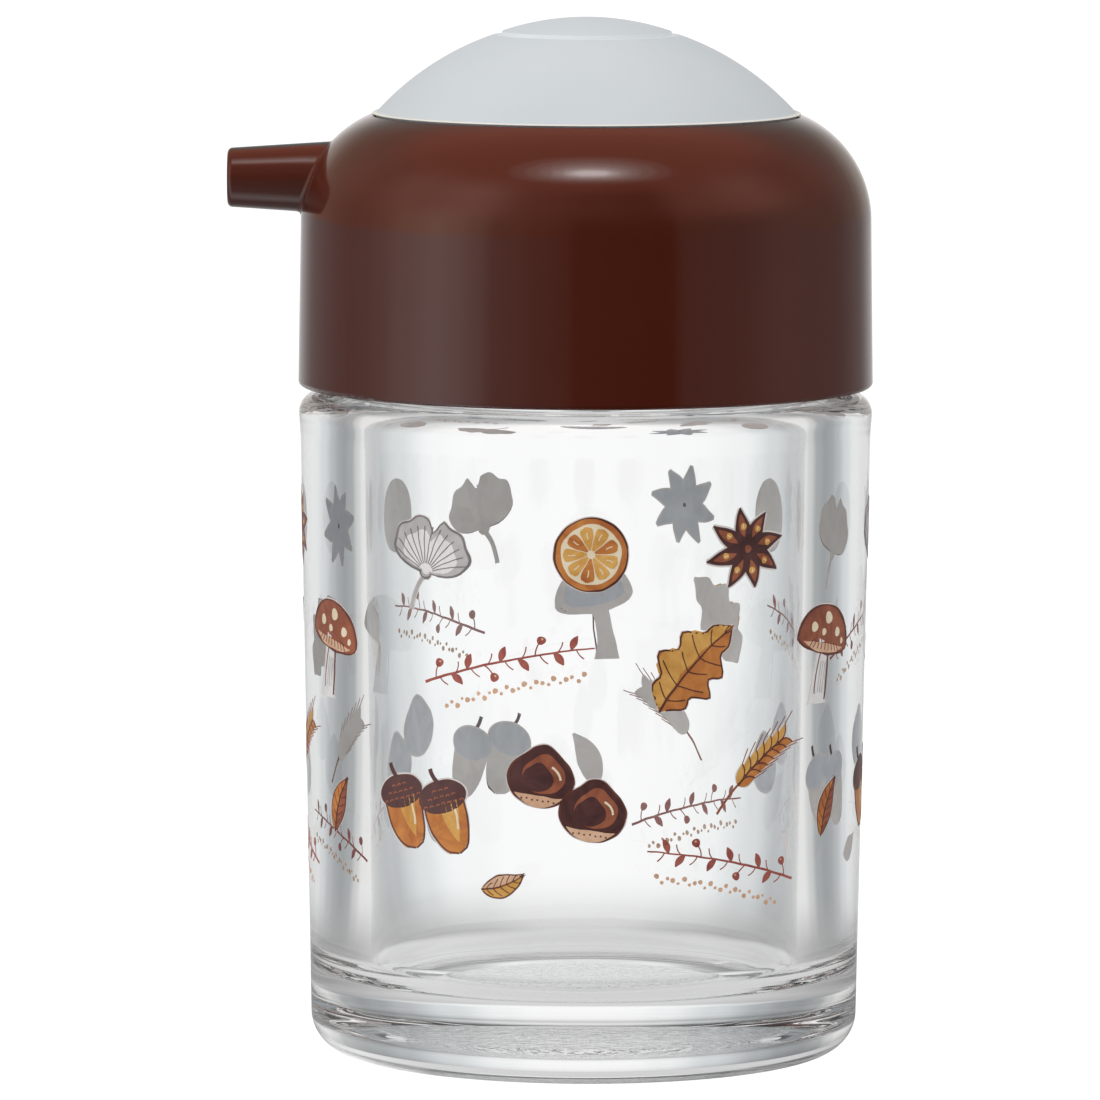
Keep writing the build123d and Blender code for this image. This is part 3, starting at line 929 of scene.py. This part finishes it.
def print_unit(ink, azimuth):
    """One repeat of the print round an azimuth. A move gives azimuth, height, turn, size and mirror."""
    ink.move(azimuth - 47, 59.5, -14, 1.25)
    draw_ginkgo(ink)
    ink.move(azimuth - 13, 60.6, 10, 1.12)
    draw_citrus(ink)
    ink.move(azimuth + 20, 60.8, 5, 1.3)
    draw_star(ink)
    ink.move(azimuth - 30, 47.6, 7, 1.25)
    draw_sprig(ink)
    ink.move(azimuth + 9, 47.4, 28, 1.35)
    draw_leaf(ink, (-4.6, -1.4), (4.6, 1.6), 2.5, 0.5, 4)
    ink.move(azimuth + 43, 48.4, -10, 1.45)
    draw_mushroom(ink)
    ink.move(azimuth - 50, 31.6, 16, 1.3)
    draw_acorn(ink, -1.6, 0)
    draw_acorn(ink, 2.6, -1.4)
    ink.move(azimuth - 18, 33.6, -8, 1.25)
    draw_chestnut(ink, -2.4, 0.9)
    draw_chestnut(ink, 2.7, -1.5)
    ink.move(azimuth + 16, 24.6, -7, 1.2, -1)
    draw_sprig(ink)
    ink.move(azimuth + 24, 35.6, -38, 1.35)
    draw_wheat(ink)
    ink.move(azimuth + 46, 30.2, 64, 1.0)
    draw_leaf(ink, (-3.6, 0), (3.6, 0), 1.5, 0.6, 0, "russet", "orange")
    ink.move(azimuth - 31, 23.4, 20, 0.9)
    draw_leaf(ink, (-3.0, 0), (3.0, 0), 1.4, -0.5, 0, "gold", "peach")


def ink_look(name, low, high):
    """Painted ink: two tones of one colour in small warped clouds."""
    made, graph = new_graph("ink_" + name)
    cloud = graph.cloud(graph.place(), INK_CLOUD_SCALE, 5.0, Roughness=0.65, Distortion=1.2)
    graph.coat(graph.ramp(cloud, ((0.36, low), (0.64, high)), "LINEAR"), INK_ROUGHNESS)
    return made


INK_TONES = {
    "underlay": ((0.66, 0.60, 0.57), (0.74, 0.69, 0.66)),
    "shade": ((0.50, 0.52, 0.57), (0.60, 0.62, 0.66)),
    "pearl": ((0.70, 0.68, 0.67), (0.82, 0.80, 0.80)),
    "grey": ((0.40, 0.39, 0.39), (0.52, 0.50, 0.50)),
    "slate": ((0.13, 0.12, 0.13), (0.22, 0.20, 0.20)),
    "orange": ((0.42, 0.12, 0.022), (0.62, 0.24, 0.05)),
    "gold": ((0.56, 0.26, 0.045), (0.74, 0.42, 0.11)),
    "russet": ((0.22, 0.055, 0.028), (0.36, 0.11, 0.05)),
    "brown": ((0.055, 0.018, 0.018), (0.10, 0.035, 0.032)),
    "umber": ((0.085, 0.022, 0.016), (0.16, 0.045, 0.03)),
    "wine": ((0.30, 0.055, 0.045), (0.42, 0.12, 0.09)),
    "peach": ((0.60, 0.34, 0.20), (0.76, 0.50, 0.34)),
    "cream": ((0.74, 0.62, 0.42), (0.84, 0.74, 0.56)),
}


def make_print():
    """The whole print: one unit repeated round the glass. The seed makes each run's wobble the same."""
    noise.seed_set(INK_WOBBLE_SEED)
    ink = Ink()
    for repeat in range(PRINT_REPEATS):
        print_unit(ink, PRINT_TURN + 360 / PRINT_REPEATS * repeat)
    ink.finish({name: ink_look(name, *tones) for name, tones in INK_TONES.items()})


# Studio, in metres and degrees. Glass, polished surfaces and the camera each see it at levels of
# their own, in place of the cards and screens that stand round an object in a real studio.
CAMERA_PLACE = (-0.00403, -1.15, 0.1782)
CAMERA_TILT = 84.02
CAMERA_ROLL = 0.17
CAMERA_LENS = 329.04
CAMERA_SENSOR = 36
CAMERA_RANGE = (0.05, 30)
LIGHT_BOUNCES = 32
GLOSSY_BOUNCES = 16

# The floor, a hair below the foot, and where it changes from what the glass sees near the foot
FLOOR_SIZE = 6.0
STUDIO_FLOOR_HEIGHT = -0.00002
FLOOR_TONE = 0.5
FLOOR_GLOW = 0.62
# Painted shade of the object on the floor, as glass sees it right by the foot
FOOT_SHADE_LEVEL = 0.68
FOOT_REACH = (0.045, 0.065)
NEAR_FLOOR_REACH = (0.095, 0.16)

# The soft light overhead, brightest at its middle: elevation, size and radiance of each ring
KEY_AZIMUTH = 3
KEY_DISTANCE = 1.0
KEY_SPACING = 0.02
LAMP_AIM_HEIGHT = 0.06
KEY_LAMPS = (
    (64.3, (0.20, 0.10), 3.9),
    (64.4, (0.30, 0.16), 2.2),
    (64.9, (0.42, 0.25), 1.2),
    (65.8, (0.56, 0.36), 0.75),
    (66.9, (0.76, 0.48), 0.52),
    (68.0, (0.98, 0.62), 0.34),
)


def add_camera():
    data = bpy.data.cameras.new("camera")
    data.sensor_width = CAMERA_SENSOR
    data.lens = CAMERA_LENS
    data.clip_start, data.clip_end = CAMERA_RANGE
    camera = add_object("camera", data)
    camera.location = CAMERA_PLACE
    tilt = Euler((radians(CAMERA_TILT), 0, 0)).to_matrix()
    camera.rotation_euler = (tilt @ Matrix.Rotation(radians(CAMERA_ROLL), 3, "Z")).to_euler()
    bpy.context.scene.camera = camera


def spread(stops, low, high):
    """Stops whose places run from low to high, as a ramp's stops from 0 to 1."""
    return [((place - low) / (high - low), level) for place, level in stops]


def backdrop_level(graph, across, back):
    """How bright glass sees the studio at an azimuth: white behind, greyer to each side of that."""
    azimuth = graph.math("ARCTAN2", across, back)
    left = graph.math("MULTIPLY", azimuth, -1.05)
    around = graph.math("DIVIDE", graph.math("MAXIMUM", azimuth, left), pi)
    stops = (
        (0, (1.0, 1.0, 1.0)),
        (6, (0.99, 0.99, 0.99)),
        (12, (0.91, 0.93, 0.93)),
        (20, (0.68, 0.71, 0.72)),
        (30, (0.42, 0.44, 0.455)),
        (36, (0.32, 0.335, 0.345)),
        (42, (0.29, 0.305, 0.315)),
        (50, (0.37, 0.385, 0.39)),
        (56, (0.62, 0.625, 0.625)),
        (62, (0.82, 0.82, 0.81)),
        (100, (0.83, 0.83, 0.82)),
        (140, (0.9, 0.9, 0.9)),
        (180, (1.0, 1.0, 1.0)),
    )
    return graph.ramp(around, spread(stops, 0, 180))


def backdrop_fall(graph, up):
    """How much of the backdrop's level is left at a height, given by the elevation's sine."""
    stops = (
        (0, 1.0),
        (8, 0.96),
        (11, 0.86),
        (14, 0.6),
        (18, 0.88),
        (21, 0.74),
        (25, 0.32),
        (33, 0.08),
        (42, 0.7),
        (50, 1.0),
    )
    return graph.ramp(up, [(sin(radians(angle)), level) for angle, level in stops], "LINEAR")


def reflected_level(graph, across, back, up):
    """How bright polished surfaces see the studio, at azimuths from -180 to 180 with 0 at the camera."""
    azimuth = graph.math("ARCTAN2", across, graph.math("MULTIPLY", back, -1.0))
    around = graph.math("MULTIPLY_ADD", azimuth, 1 / (2 * pi), 0.5)
    stops = (
        (-180, 1.0),
        (-160, (0.66, 0.6, 0.54)),
        (-140, (0.45, 0.32, 0.25)),
        (-110, (0.46, 0.29, 0.23)),
        (-100, (0.58, 0.37, 0.29)),
        (-90, (0.86, 0.53, 0.41)),
        (-79, (1.36, 0.86, 0.67)),
        (-62, (1.72, 1.25, 0.97)),
        (-53, (1.5, 1.08, 0.86)),
        (-45, (1.05, 0.8, 0.68)),
        (-36, (0.52, 0.38, 0.29)),
        (-29, (0.49, 0.33, 0.25)),
        (-20, (0.42, 0.2, 0.17)),
        (-9, (0.24, 0.14, 0.11)),
        (-3, (0.02, 0.02, 0.02)),
        (34, (0.005, 0.008, 0.01)),
        (39, (0.2, 0.2, 0.15)),
        (58, (0.22, 0.25, 0.24)),
        (84, (0.43, 0.37, 0.33)),
        (120, (0.26, 0.25, 0.21)),
        (140, (0.35, 0.31, 0.27)),
        (160, (0.63, 0.6, 0.55)),
        (180, 1.0),
    )
    raised_stops = (
        (-180, (0.22, 0.4, 0.41)),
        (-150, (0.3, 0.27, 0.22)),
        (-110, (0.6, 0.37, 0.3)),
        (-80, (1.28, 0.72, 0.6)),
        (-52, (1.62, 0.95, 0.8)),
        (-22, (0.55, 0.28, 0.22)),
        (3, (0.27, 0.15, 0.12)),
        (26, (0.15, 0.1, 0.08)),
        (48, (0.87, 0.42, 0.33)),
        (76, (1.25, 0.64, 0.52)),
        (112, (0.47, 0.28, 0.24)),
        (150, (0.26, 0.27, 0.24)),
        (180, (0.22, 0.4, 0.41)),
    )
    low = graph.ramp(around, spread(stops, -180, 180))
    raised = graph.ramp(around, spread(raised_stops, -180, 180))
    side = graph.blend(graph.span(up, 0.12, 0.45), low, raised)
    return graph.blend(graph.span(up, 0.58, 0.86), side, colour((0.9, 0.37, 0.27)))


def add_world():
    """The studio all round: white to the camera, soft grey light, and what each kind of ray sees."""
    world = bpy.data.worlds.new("studio")
    world.use_nodes = True
    bpy.context.scene.world = world
    graph = Graph(world.node_tree)
    direction = graph.add("ShaderNodeTexCoord").outputs["Generated"]
    across, back, up = graph.add("ShaderNodeSeparateXYZ", {"Vector": direction}).outputs
    path = graph.add("ShaderNodeLightPath")
    sky = graph.ramp(graph.math("MULTIPLY_ADD", up, 0.5, 0.5), ((0.5, 0.75), (1.0, 1.0)), "LINEAR")
    behind = graph.add(
        "ShaderNodeVectorMath",
        {0: backdrop_level(graph, across, back), 1: backdrop_fall(graph, up)},
        operation="MULTIPLY",
    )
    seen = graph.blend(path.outputs["Is Glossy Ray"], sky, reflected_level(graph, across, back, up))
    seen = graph.blend(path.outputs["Is Transmission Ray"], seen, behind.outputs["Vector"])
    seen = graph.blend(path.outputs["Is Camera Ray"], seen, colour(1.0))
    light = graph.add("ShaderNodeBackground", {"Color": seen, "Strength": 1.0})
    graph.add("ShaderNodeOutputWorld", {"Surface": light.outputs[0]})


def painted_foot_shade(graph, across, back, away):
    """How bright glass sees the floor near the foot: painted shade of the object on the floor, a pale
    grey, and darker behind it to both sides.
    """
    azimuth = graph.math("ABSOLUTE", graph.math("ARCTAN2", across, back))
    stops = ((0, 0.69), (6, 0.67), (10, 0.59), (15, 0.5), (22, 0.41), (33, 0.36), (60, 0.4), (90, 0.66))
    behind = graph.ramp(graph.math("DIVIDE", azimuth, pi), spread(stops, 0, 180), "LINEAR")
    return graph.blend(graph.span(away, *FOOT_REACH), colour(FOOT_SHADE_LEVEL), behind)


def floor_look():
    """A pale floor, lifted to white for the camera, with levels of its own for glass and reflections,
    and painted shade of the object near the foot for glass.
    """
    made, graph = new_graph("studio_floor")
    place = graph.add("ShaderNodeNewGeometry").outputs["Position"]
    across, back, _ = graph.add("ShaderNodeSeparateXYZ", {"Vector": place}).outputs
    away = graph.length(place)
    path = graph.add("ShaderNodeLightPath")
    pale = graph.add("ShaderNodeBsdfDiffuse", {"Color": colour(FLOOR_TONE)}).outputs[0]
    lifted = graph.add("ShaderNodeAddShader", {0: pale, 1: graph.glow(colour(FLOOR_GLOW))}).outputs[0]
    # Painted shade of the object on the floor near the foot, seen through the glass.
    foot = painted_foot_shade(graph, across, back, away)
    backdrop = backdrop_level(graph, across, back)
    through = graph.blend(graph.span(away, *NEAR_FLOOR_REACH), foot, backdrop)
    mirrored = graph.add("ShaderNodeRGBToBW", {"Color": reflected_level(graph, across, back, 0.0)})
    seen = graph.mix(path.outputs["Is Camera Ray"], pale, lifted)
    seen = graph.mix(path.outputs["Is Glossy Ray"], seen, graph.glow(mirrored.outputs[0]))
    graph.surface(graph.mix(path.outputs["Is Transmission Ray"], seen, graph.glow(through)))
    return made


def add_floor():
    mesh = bpy.data.meshes.new("studio_floor")
    half = FLOOR_SIZE / 2
    corners = ((-half, -half, 0), (half, -half, 0), (half, half, 0), (-half, half, 0))
    mesh.from_pydata(corners, (), ((0, 1, 2, 3),))
    mesh.materials.append(floor_look())
    floor = add_object("studio_floor", mesh)
    floor.location.z = STUDIO_FLOOR_HEIGHT


def add_lamp(name, azimuth, elevation, distance, size, radiance, reflected=True):
    """A soft lamp that faces the object from a direction, azimuth 0 being the camera's side."""
    width, height = size
    data = bpy.data.lights.new(name, "AREA")
    data.shape = "ELLIPSE"
    data.size, data.size_y = width, height
    area = pi * width * height / 4
    data.energy = radiance * pi * area
    lamp = add_object(name, data)
    turn, rise = radians(azimuth), radians(elevation)
    towards = Vector((sin(turn) * cos(rise), -cos(turn) * cos(rise), sin(rise)))
    lamp.location = towards * distance + Vector((0, 0, LAMP_AIM_HEIGHT))
    lamp.rotation_euler = towards.to_track_quat("Z", "Y").to_euler()
    lamp.visible_glossy = reflected
    lamp.visible_transmission = False


def add_studio():
    add_camera()
    add_world()
    add_floor()
    for place, (elevation, size, radiance) in enumerate(KEY_LAMPS):
        distance = KEY_DISTANCE + KEY_SPACING * place
        add_lamp("key_lamp_" + str(place), KEY_AZIMUTH, elevation, distance, size, radiance)
    add_lamp("left_lamp", -66, 20, 1.0, (0.5, 0.7), 2.0, reflected=False)
    scene = bpy.context.scene
    scene.view_settings.view_transform = "Standard"
    scene.cycles.max_bounces = LIGHT_BOUNCES
    scene.cycles.transmission_bounces = LIGHT_BOUNCES
    scene.cycles.glossy_bounces = GLOSSY_BOUNCES
    scene.cycles.transparent_max_bounces = LIGHT_BOUNCES
    scene.cycles.caustics_reflective = False
    scene.cycles.caustics_refractive = False


glass = glass_look()
brown = brown_look()
silicone = dome_look()
white_plastic = pale_look("white_plastic", (0.72, 0.71, 0.68), (0.78, 0.77, 0.74), 0.35)
milky = pale_look("milky_silicone", (0.68, 0.69, 0.68), (0.74, 0.75, 0.74), 0.5)
looks = {
    "cap_cover": brown,
    "inner_lid": white_plastic,
    "clamp_ring": white_plastic,
    "neck_gasket": milky,
    "spout_seal": milky,
    "push_dome": silicone,
    "push_pad": silicone,
}
for node, look in looks.items():
    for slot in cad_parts[node].material_slots:
        slot.material = look

make_bottle(glass)
make_dome(silicone)
make_threads(glass, white_plastic)
make_print()
add_studio()
